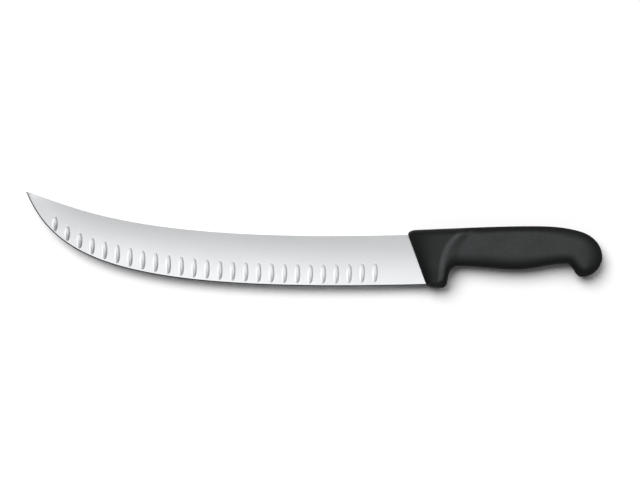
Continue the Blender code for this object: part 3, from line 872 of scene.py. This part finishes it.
low_share = graph.math("SUBTRACT", 1.0, graph.math("DIVIDE", given["Depth"], given["Wheel Rise"]))
rim = graph.math("SQRT", graph.math("SUBTRACT", 1.0, graph.math("MULTIPLY", low_share, low_share)))
reach = graph.math("DIVIDE", half_width, rim)
long_reach = graph.math("DIVIDE", graph.math("MULTIPLY", given["Length"], 0.5), rim)
above = graph.math("SUBTRACT", given["Wheel Rise"], given["Depth"])
ball = {"Segments": WHEEL_SEGMENTS, "Rings": WHEEL_RINGS, "Radius": 1.0}
shaping = {
    "Geometry": graph.add("GeometryNodeMeshUVSphere", ball).outputs["Mesh"],
    "Translation": graph.xyz(0.0, 0.0, above),
    "Scale": graph.xyz(reach, long_reach, given["Wheel Rise"]),
}
wheel = graph.add("GeometryNodeTransform", shaping).outputs[0]
print("faces of one wheel:", WHEEL_SEGMENTS * WHEEL_RINGS)

# %% A wheel at every point, square on the metal
square_on = graph.add("FunctionNodeAlignRotationToVector", {"Vector": face_hit["Hit Normal"]}, axis="Z")
copies = {
    "Points": sitting,
    "Instance": wheel,
    "Rotation": square_on.outputs["Rotation"],
    "Scale": graph.xyz(1.0, graph.math("DIVIDE", length, given["Length"]), 1.0),
}
wheels = graph.add("GeometryNodeInstanceOnPoints", copies).outputs[0]
whole = graph.add("GeometryNodeRealizeInstances", {"Geometry": wheels}).outputs[0]
polished = graph.add("GeometryNodeSetShadeSmooth", {0: whole}).outputs[0]
dressed = graph.add("GeometryNodeSetMaterial", {"Geometry": polished, "Material": given["Steel"]})
graph.add("NodeGroupOutput", {"Geometry": dressed.outputs[0]})
print("nodes in the flutes' tree:", len(flute_tree.nodes))

# %% [markdown]
# ## Cutting the flutes
#
# The wheels of each side are run as one mesh, and a Boolean takes both from the blade, as the real
# wheel does. It carries the wheels' material over, so the cut keeps the flutes' own finish. The rims
# of the flutes, the bevel and the spine are then marked sharp, and weighted normals keep the large
# faces flat to the eye although the cut has split them into uneven pieces.

# %% The wheels of both rows: the second side starts half a pitch on


def flute_values(side):
    """What the tree of a row needs, on the side +1 or -1 of the blade."""
    shift = 0.0 if side > 0 else FLUTE_PITCH / 2
    return {
        **curve_values("Spine", spine_side),
        **FLUTE_SIZES,
        "Blade": blade_body,
        "Side": float(side),
        "First": FLUTE_HEEL_GAP + shift,
        "Steel": flute_steel,
    }


wheels = []
for side in (1, -1):
    wheel_mesh = turned_out(run_tree("wheels", flute_tree, flute_values(side)))
    wheels.append(shown_object(f"wheels_{side}", wheel_mesh))
    print("flutes on side", side, "are", len(wheel_mesh.polygons) // (WHEEL_SEGMENTS * WHEEL_RINGS))

# %% Cut both rows and even out the shading
SHARP_ANGLE = 11.0

for wheel in wheels:
    cut = blade_body.modifiers.new(wheel.name, "BOOLEAN")
    cut.operation = "DIFFERENCE"
    cut.solver = "EXACT"
    cut.material_mode = "TRANSFER"
    cut.object = wheel
blade_mesh = baked(blade_body)
for wheel in wheels:
    bpy.data.objects.remove(wheel)
blade_mesh.set_sharp_from_angle(angle=math.radians(SHARP_ANGLE))
finish = shown_object("even_blade", blade_mesh)
even = finish.modifiers.new("even_shading", "WEIGHTED_NORMAL")
even.keep_sharp = True
blade_mesh = baked(finish)
finishes = {blade_mesh.materials[face.material_index].name for face in blade_mesh.polygons}
print("blade with its flutes:", len(blade_mesh.polygons), "faces in", sorted(finishes))

# %% [markdown]
# ## Nylon
#
# The handle is one moulding in one black plastic, but two finishes of the mould: the collar is
# smooth, and everything behind its crest is finely pebbled for grip. So there is one material, and
# masks stored on the mesh tell it where it is: "grip" is 1 where the mould is pebbled, a second mask
# makes the colour paler along the crest as a painted highlight, and "level" darkens the colour on
# the steep sides and at the pommel's end as painted shade. Plastic has its colour under the shine:
# the base colour is almost black, and what is seen is mostly a broad, soft highlight. Pebbles scatter
# it, so the pebbled part is rougher and looks paler.

# %% Sizes and shades of the nylon
SMOOTH_COLOUR = (0.0090, 0.0095, 0.0093)
PEBBLED_COLOUR = (0.0495, 0.0530, 0.0535)
SMOOTH_ROUGHNESS = 0.50
PEBBLED_ROUGHNESS = 0.85
ROUGHNESS_HAZE = 0.03
NYLON_SPECULAR = 0.12
NYLON_PATCH = 0.018
CLOUD_SHADES = (0.92, 1.08)
HOLLOW_SHADE = 0.75
CREST_HIGHLIGHT_GAIN = 0.5
PEBBLE_SIZE = 0.00055
PEBBLE_HEIGHT = 0.00003
PARTING_WIDTH = 0.00012
PARTING_HEIGHT = 0.00004
print("the pebbled skin is", round(PEBBLED_COLOUR[1] / SMOOTH_COLOUR[1], 1), "times as pale")

# %% Colour of the nylon: two shades, clouds, painted shade in the hollows, a painted highlight on the crest, and painted shade on the steep sides and the pommel's end
nylon, graph, shader, spot = surface("moulded_nylon")
shader["Specular IOR Level"].default_value = NYLON_SPECULAR
masks = [graph.add("ShaderNodeAttribute", attribute_name=name) for name in ("grip", "worn", "level")]
grip, worn, level = (mask.outputs["Fac"] for mask in masks)
grains = place(graph, pebbles, {"Vector": spot, "Pebble Size": PEBBLE_SIZE})
patches = place(graph, haze, {"Vector": spot, "Patch Size": NYLON_PATCH})["Haze"]
colour = graph.blend(grip, (*SMOOTH_COLOUR, 1.0), (*PEBBLED_COLOUR, 1.0), "RGBA")
cloudy = graph.ramp(patches, 0.0, 1.0, *CLOUD_SHADES)
# The crest is made paler in colour: a painted highlight.
painted_highlight = graph.ramp(worn, 0.0, 1.0, 1.0, 1.0 + CREST_HIGHLIGHT_GAIN)
# The hollows between the pebbles are darkened in colour: painted shade.
painted_hollow_shade = graph.ramp(graph.math("MULTIPLY", grains["Hollows"], grip), 0.0, 1.0, 1.0, HOLLOW_SHADE)
tone = graph.math("MULTIPLY", cloudy, painted_hollow_shade)
# "level" darkens the colour on the steep sides and at the pommel's end: painted shade.
tone = graph.math("MULTIPLY", tone, graph.math("MULTIPLY", painted_highlight, level))
graph.feed(shader["Base Color"], graph.scaled(colour, tone))
print("nodes in the nylon so far:", len(nylon.node_tree.nodes))

# %% Roughness of the nylon, its pebbles, and the fine line where the mould parts
roughness = graph.ramp(grip, 0.0, 1.0, SMOOTH_ROUGHNESS, PEBBLED_ROUGHNESS)
roughness = graph.math("ADD", roughness, graph.ramp(patches, 0.0, 1.0, -ROUGHNESS_HAZE, ROUGHNESS_HAZE))
graph.feed(shader["Roughness"], roughness)
height = graph.math("MULTIPLY", grains["Height"], graph.math("MULTIPLY", grip, PEBBLE_HEIGHT))
from_parting = graph.math("ABSOLUTE", graph.math("SUBTRACT", graph.parts(spot)["Z"], middle_height))
parting = graph.ramp(from_parting, 0.0, PARTING_WIDTH, PARTING_HEIGHT, 0.0, ease=True)
height = graph.math("ADD", height, parting)
bump = graph.add("ShaderNodeBump", {"Height": height, "Distance": 1.0, "Strength": 1.0})
graph.feed(shader["Normal"], bump.outputs["Normal"])
print("nodes in the nylon:", len(nylon.node_tree.nodes))

# %% [markdown]
# ## Outline of the handle
#
# No primitive comes near a moulded handle, and carving one leaves no sizes to change. Its outline is
# a chain of smooth arcs instead: the back, the rounded pommel with its hook, the belly, and the
# guard in front of the first finger. Each knot of the chain has a place, a heading and the distance
# over which the side rounds over there.

# %% Sizes of the handle in plan, in metres from the front corner
HANDLE_REACH = 0.1471
CORNER_DROP = 0.0014
CORNER_RUN = 0.0062
CORNER_RISE = 0.0029
BACK_RISE = 0.0057
BACK_PEAK_GAP = 0.0524
CROWN_GAP = 0.0155
CROWN_RISE = 0.0013
POMMEL_DROP = 0.0178
ROUND_GAP = 0.0024
ROUND_DROP = 0.0253
HOOK_GAP = 0.0160
HOOK_DROP = 0.0328
HOOK_CORNER_GAP = 0.0179
HOOK_CORNER_RISE = 0.0006
HOOK_FACE_GAP = 0.0224
HOOK_FACE_DROP = 0.0264
HOOK_NOTCH_GAP = 0.0266
HOOK_NOTCH_DROP = 0.0227
BELLY_X = 0.0812
BELLY_DROP = 0.0272
FINGER_X = 0.0375
FINGER_DROP = 0.0244
GUARD_BACK_X = 0.0304
GUARD_BACK_DROP = 0.0313
GUARD_CORNER_X = 0.0279
GUARD_CORNER_RISE = 0.0009
GUARD_TOE_X = 0.0255
GUARD_TOE_COVER = 0.0022
HEEL_COVER = 0.0006
GUARD_TOE_DROP = HEEL_DEPTH + GUARD_TOE_COVER
finger_gap = HANDLE_REACH - HOOK_FACE_GAP - GUARD_BACK_X
print("from guard to hook in millimetres:", round(1000 * finger_gap, 1))

# %% How far in from the outline the sides round over, in metres
BACK_ROUND = 0.0060
CROWN_ROUND = 0.0100
POMMEL_ROUND = 0.0130
HOOK_ROUND = 0.0075
NOTCH_ROUND = 0.0085
BELLY_ROUND = 0.0115
FINGER_ROUND = 0.0105
GUARD_ROUND = 0.0045
TOE_ROUND = 0.0070
CORNER_ROUND = 0.0025
OUTLINE_STEPS = 40
STRAIGHT_BEND = 1e-3


def knots_path(knots):
    """A smooth path through knots of x, y, heading and rounding, with the rounding at each point.

    Between two knots, the pull gives a Bezier curve the handles with which it comes closest to a circle.
    """
    path = []
    for (x0, y0, turn0, round0), (x1, y1, turn1, round1) in zip(knots, knots[1:]):
        bend = math.radians((turn1 - turn0 + 180.0) % 360.0 - 180.0)
        pull = 1 / 3 if abs(bend) < STRAIGHT_BEND else 2 / 3 * math.tan(bend / 4) / math.sin(bend / 2)
        start = Vector((x0, y0, 0.0))
        end = Vector((x1, y1, 0.0))
        chord = (end - start).length
        leave = start + heading(turn0) * pull * chord
        arrive = end - heading(turn1) * pull * chord
        points = interpolate_bezier(start, leave, arrive, end, OUTLINE_STEPS + 1)
        for k, point in enumerate(points[:-1]):
            path.append((point.x, point.y, mix(round0, round1, k / OUTLINE_STEPS)))
    x, y, _, rounding = knots[-1]
    path.append((x, y, rounding))
    return np.array(path)


print("the sides round over by", 1000 * GUARD_ROUND, "millimetres at the guard,")
print("and by", 1000 * POMMEL_ROUND, "millimetres round the pommel")

# %% The outline as smooth arcs


def handle_outline():
    """The handle's outline in plan: its back, then the pommel to the hook, the belly and the foot."""
    end = HANDLE_REACH
    back = [
        (front_x(-CORNER_DROP), -CORNER_DROP, 90.0 + FRONT_LEAN, CORNER_ROUND),
        (CORNER_RUN, CORNER_RISE, 2.0, BACK_ROUND),
        (end - BACK_PEAK_GAP, BACK_RISE, 0.0, BACK_ROUND),
        (end - CROWN_GAP, CROWN_RISE, -18.0, CROWN_ROUND),
        (end, -POMMEL_DROP, -90.0, POMMEL_ROUND),
    ]
    hook = [
        back[-1],
        (end - ROUND_GAP, -ROUND_DROP, -119.0, POMMEL_ROUND),
        (end - HOOK_GAP, -HOOK_DROP, -180.0, HOOK_ROUND),
        (end - HOOK_CORNER_GAP, -HOOK_DROP + HOOK_CORNER_RISE, -211.0, HOOK_ROUND),
    ]
    belly = [
        hook[-1],
        (end - HOOK_FACE_GAP, -HOOK_FACE_DROP, -229.0, NOTCH_ROUND),
        (end - HOOK_NOTCH_GAP, -HOOK_NOTCH_DROP, -180.0, NOTCH_ROUND),
        (BELLY_X, -BELLY_DROP, -180.0, BELLY_ROUND),
        (FINGER_X, -FINGER_DROP, -180.0, FINGER_ROUND),
        (GUARD_BACK_X, -GUARD_BACK_DROP, -109.0, GUARD_ROUND),
        (GUARD_CORNER_X, -GUARD_TOE_DROP + GUARD_CORNER_RISE, -143.0, TOE_ROUND),
    ]
    heel = HEEL_DEPTH + HEEL_COVER
    foot = [
        belly[-1],
        (GUARD_TOE_X, -GUARD_TOE_DROP, -180.0, TOE_ROUND),
        (front_x(-heel), -heel, -215.0, CORNER_ROUND),
    ]
    return [knots_path(knots) for knots in (back, hook, belly, foot)]


outline_points = sum(len(path) for path in handle_outline())
print("points round the handle:", outline_points)

# %% [markdown]
# ## Ribs of the handle
#
# Across the outline run ribs, which fan from the slanted front face, through the curved crest behind
# the collar, to the pommel. Along each rib the handle has one thickness, and the list of thicknesses
# from front to back is the handle's profile: up over the collar to the crest, down to the neck, up to
# the palm and down to the pommel. Each rib also carries its share of grip and its share of the crest's
# painted highlight, so the finish and the painted highlight follow the same lines as the shape.

# %% Sizes of the handle in thickness, in metres
FRONT_HALF = 0.0068
CREST_HALF = 0.0113
NECK_HALF = 0.0097
PALM_HALF = 0.0115
POMMEL_HALF = 0.0105
TOE_HALF = 0.0078
FRONT_FILLET = 0.0008
COLLAR_CROWN = 0.5
CREST_WIDTH = 0.004
SLOPE_WIDTH = 0.010
NECK_RUN = 0.014
PALM_START = 0.062
PALM_END_GAP = 0.040
POMMEL_GAP = 0.010
print("thickest at the palm, in millimetres:", round(2000 * PALM_HALF, 1))

# %% Where the ribs run, and how many there are
CREST_FOOT_X = 0.0212
CREST_LEAN = 0.0149
CREST_FADE = 0.0114
LEAN_RUN = 0.060
FILLET_RIBS = 8
COLLAR_RIBS = 30
RIB_SPACING = 0.0007
POMMEL_RIBS = 34
GRIP_REACH = HANDLE_REACH - CREST_FOOT_X
FRONT_FLAT = FRONT_FILLET / math.cos(math.radians(FRONT_LEAN))


def fillet_x(inset, y):
    """Plan line of a rib on the front fillet."""
    return front_x(y) + inset


def crest_x(beyond, y):
    """Plan line that runs a distance behind the crest and straightens as it leaves it."""
    lean = CREST_LEAN * np.exp(y / CREST_FADE)
    return CREST_FOOT_X + beyond + lean * (1.0 - smooth(beyond / LEAN_RUN))


def collar_x(share, y):
    """Plan line of a rib on the collar, at a share of the way from the front face to the crest."""
    return mix(front_x(y) + FRONT_FLAT, crest_x(0.0, y), share)


def grip_runs():
    """Distances of the grip's ribs behind the crest, crowded where the pommel closes."""
    straight = GRIP_REACH - HOOK_GAP
    steps = round(straight / RIB_SPACING)
    runs = [straight * k / steps for k in range(1, steps + 1)]
    turns = [math.pi / 2 * k / POMMEL_RIBS for k in range(1, POMMEL_RIBS + 1)]
    return runs + [mix(straight, GRIP_REACH, math.sin(turn)) for turn in turns]


print("ribs behind the crest:", len(grip_runs()))

# %% Thickness along the handle, rib by rib
CREST_FINISH = 0.55
CREST_FINISH_SHARE = 0.8
# How far the crest's painted highlight reaches behind the crest and over the end of the collar.
CREST_HIGHLIGHT_EDGE = 0.0015
CREST_HIGHLIGHT_SHARE = 0.08


def collar_half(share):
    """Half thickness from the front face to the crest: steeper at the front by the collar's crown."""
    left = 1.0 - share
    return mix(CREST_HALF, FRONT_HALF, mix(left, left * left, COLLAR_CROWN))


def grip_half(run):
    """Half thickness behind the crest: down to the neck, up to the palm and down to the pommel."""
    palm = PALM_START - CREST_FOOT_X
    half = mix(CREST_HALF, NECK_HALF, smooth((run - CREST_WIDTH) / SLOPE_WIDTH))
    swell = smooth((run - NECK_RUN) / (palm - NECK_RUN))
    fall = smooth((run - GRIP_REACH + PALM_END_GAP) / (PALM_END_GAP - POMMEL_GAP))
    return mix(mix(half, PALM_HALF, swell), POMMEL_HALF, fall)


def ribs():
    """Each rib as a plan line x(y), the half thickness along it, and its shares of grip and of the
    crest's painted highlight.
    """
    lines = []
    for k in range(FILLET_RIBS + 1):
        turn = math.pi / 2 * k / FILLET_RIBS
        inset = FRONT_FLAT * (1.0 - math.cos(turn))
        half = FRONT_HALF - FRONT_FILLET * (1.0 - math.sin(turn))
        lines.append((partial(fillet_x, inset), half, 0.0, 0.0))
    for k in range(1, COLLAR_RIBS + 1):
        share = k / COLLAR_RIBS
        finish = CREST_FINISH * smooth(share / CREST_FINISH_SHARE)
        worn = smooth((share - 1.0) / CREST_HIGHLIGHT_SHARE + 1.0)
        lines.append((partial(collar_x, share), collar_half(share), finish, worn))
    for run in grip_runs():
        worn = 1.0 - smooth((run - CREST_WIDTH + CREST_HIGHLIGHT_EDGE) / (2 * CREST_HIGHLIGHT_EDGE))
        lines.append((partial(crest_x, run), grip_half(run), 1.0, worn))
    return lines


print("ribs in all:", len(ribs()))

# %% [markdown]
# ## Skin of the handle
#
# Over each rib stands one closed section. It has the rib's thickness on the flat and rounds over
# towards the outline, which it meets at the parting line. Its points are crowded where the side
# rounds over, because that is where a coarse mesh would show corners. A loft over all the sections
# gives the whole form in one skin, and each size above stays one named number.

# %% Where a rib crosses the outline, and how far it has rounded over
RIB_SAMPLES = 240


def crossing(path, line):
    """Where a rib's line crosses an outline that runs steadily along X."""
    gaps = path[:, 0] - line(path[:, 1])
    changes = np.flatnonzero(gaps[:-1] * gaps[1:] <= 0.0)
    if not len(changes):
        return path[-1, 1]
    k = changes[0]
    return mix(path[k, 1], path[k + 1, 1], gaps[k] / (gaps[k] - gaps[k + 1]))


def roundover(places, stretches):
    """Share of the full thickness at plan places: 0 at the outline, 1 on the flat.

    Each stretch of the outline rounds over by itself, so that both toes get a soft nose.
    """
    height = np.ones(len(places))
    each = np.arange(len(places))
    for path in stretches:
        starts = path[:-1, :2]
        steps = path[1:, :2] - starts
        offsets = places[:, None] - starts
        shares = np.clip((offsets * steps).sum(axis=2) / (steps**2).sum(axis=1), 0.0, 1.0)
        gaps = np.linalg.norm(offsets - steps * shares[..., None], axis=2)
        near = gaps.argmin(axis=1)
        rounding = mix(path[near, 2], path[near + 1, 2], shares[each, near])
        short = 1.0 - np.minimum(gaps[each, near] / rounding, 1.0)
        height *= np.sqrt(1.0 - short * short)
    return height


crest_top = crossing(handle_outline()[0], partial(crest_x, 0.0))
print("the crest meets the back at a height in millimetres of", round(1000 * crest_top, 2))

# %% One closed section over each rib
LOWER_ROWS = 24
FLAT_ROWS = 22
UPPER_ROWS = 16
FLAT_TURN = 1e-6


def rib_ring(line, half, low, high, stretches):
    """Closed section over one rib, with points crowded where the sides round over."""
    ys = low + (high - low) * (1.0 - np.cos(np.linspace(0.0, math.pi, RIB_SAMPLES))) / 2
    turns = np.arcsin(roundover(np.stack([line(ys), ys], axis=1), stretches))
    turns[[0, -1]] = 0.0
    widest = turns.max()
    flat = np.flatnonzero(turns > widest - FLAT_TURN)
    first, last = flat[0], flat[-1]
    rising = np.maximum.accumulate(turns[: first + 1])
    falling = np.maximum.accumulate(turns[last:][::-1])
    below = np.linspace(0.0, widest, LOWER_ROWS + 1)
    above = np.linspace(0.0, widest, UPPER_ROWS + 1)
    lower = np.interp(below, rising, ys[: first + 1])
    upper = np.interp(above, falling, ys[last:][::-1])
    between = np.linspace(lower[-1], upper[-1], FLAT_ROWS + 1)[1:-1]
    rows = np.concatenate([lower, between, upper[::-1]])
    turns = np.concatenate([below, np.full(len(between), widest), above[::-1]])
    points = []
    for y, turn in zip(rows, turns):
        toe_share = (-FINGER_DROP - y) / (GUARD_TOE_DROP - FINGER_DROP)
        taper = smooth(toe_share) * (1.0 - TOE_HALF / CREST_HALF)
        points.append((line(y), y, half * (1.0 - taper) * math.sin(turn)))
    return points + [(x, y, -z) for x, y, z in reversed(points[1:-1])]


print("points round one rib:", 2 * (LOWER_ROWS + FLAT_ROWS + UPPER_ROWS))

# %% The skin over all ribs, with the shares of grip and of the crest's painted highlight on its points


def handle_skin():
    """Lofts the ribs into one closed mesh."""
    back, hook, belly, foot = handle_outline()
    under = np.vstack([hook, belly, foot])
    stretches = (np.vstack([back, hook[1:]]), belly, foot)
    form = bmesh.new()
    masks = [form.verts.layers.float.new(name) for name in ("grip", "worn")]
    loops = []
    for line, half, *shares in ribs():
        ring = rib_ring(line, half, crossing(under, line), crossing(back, line), stretches)
        loops.append([form.verts.new(point) for point in ring])
        for point in loops[-1]:
            for mask, share in zip(masks, shares):
                point[mask] = share
    for point in loops[-1]:
        point.co = (HANDLE_REACH, -POMMEL_DROP, 0.0)
    count = len(loops[0])
    for here, there in zip(loops, loops[1:]):
        for k in range(count):
            form.faces.new((here[k - 1], here[k], there[k], there[k - 1]))
    front = loops[0]
    for k in range(count // 2):
        pairs = (front[k], front[k + 1], front[count - k - 1], front[(count - k) % count])
        form.faces.new(dict.fromkeys(pairs))
    bmesh.ops.remove_doubles(form, verts=form.verts, dist=MERGE_GAP)
    bmesh.ops.recalc_face_normals(form, faces=form.faces)
    mesh = bpy.data.meshes.new("moulded_handle")
    form.to_mesh(mesh)
    form.free()
    return mesh


handle_mesh = handle_skin()
handle_mesh.shade_smooth()
handle_mesh.materials.append(nylon)
print("handle:", len(handle_mesh.polygons), "faces")

# %% How much of the nylon's colour is kept at a point of the skin, under painted shade on the steep sides and at the pommel's end
SHADE_TILT = 42.0
POMMEL_SHADE = 0.65
POMMEL_FADE_GAP = 0.021
POMMEL_FADE_RUN = 0.016


def painted_slope_shade(point):
    """Share of the colour kept under painted shade: less where the skin is steep, and towards the
    pommel's end.
    """
    tilt = math.degrees(math.acos(min(abs(point.normal.z), 1.0)))
    pommel = smooth((point.co.x - HANDLE_REACH + POMMEL_FADE_GAP) / POMMEL_FADE_RUN)
    return math.exp(-((tilt / SHADE_TILT) ** 2)) * mix(1.0, POMMEL_SHADE, pommel)


# The share is stored as the mask "level", which the nylon multiplies into its colour as painted shade.
painted_light = [painted_slope_shade(point) for point in handle_mesh.vertices]
level = handle_mesh.attributes.new("level", "FLOAT", "POINT")
level.data.foreach_set("value", painted_light)
print("texture left, on average over the skin's points:", round(sum(painted_light) / len(painted_light), 2))

# %% [markdown]
# ## Putting the knife where the frame has it
#
# The shapes above are measured from the handle's front corner, as a knife maker would. The frame's
# box says where that corner is. The move goes into the meshes, so both objects stay at the origin.
# Each piece then rides on the knife's one body and stands for its packed solid.

# %% Finished pieces in the frame
corner = Vector((cad_low.x + BLADE_REACH, cad_high.y - TIP_RISE, middle_height))
for name, mesh, node, slot in (
    ("fluted_blade", blade_mesh, "blade", "blade_steel"),
    ("moulded_handle", handle_mesh, "handle", "handle_plastic"),
):
    mesh.transform(Matrix.Translation(corner))
    mesh.name = name
    piece = shown_object(name, mesh)
    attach(piece, "root")
    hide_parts(node)
    print(name, "lies from", [round(value, 4) for value in np.array(piece.bound_box).min(axis=0)])
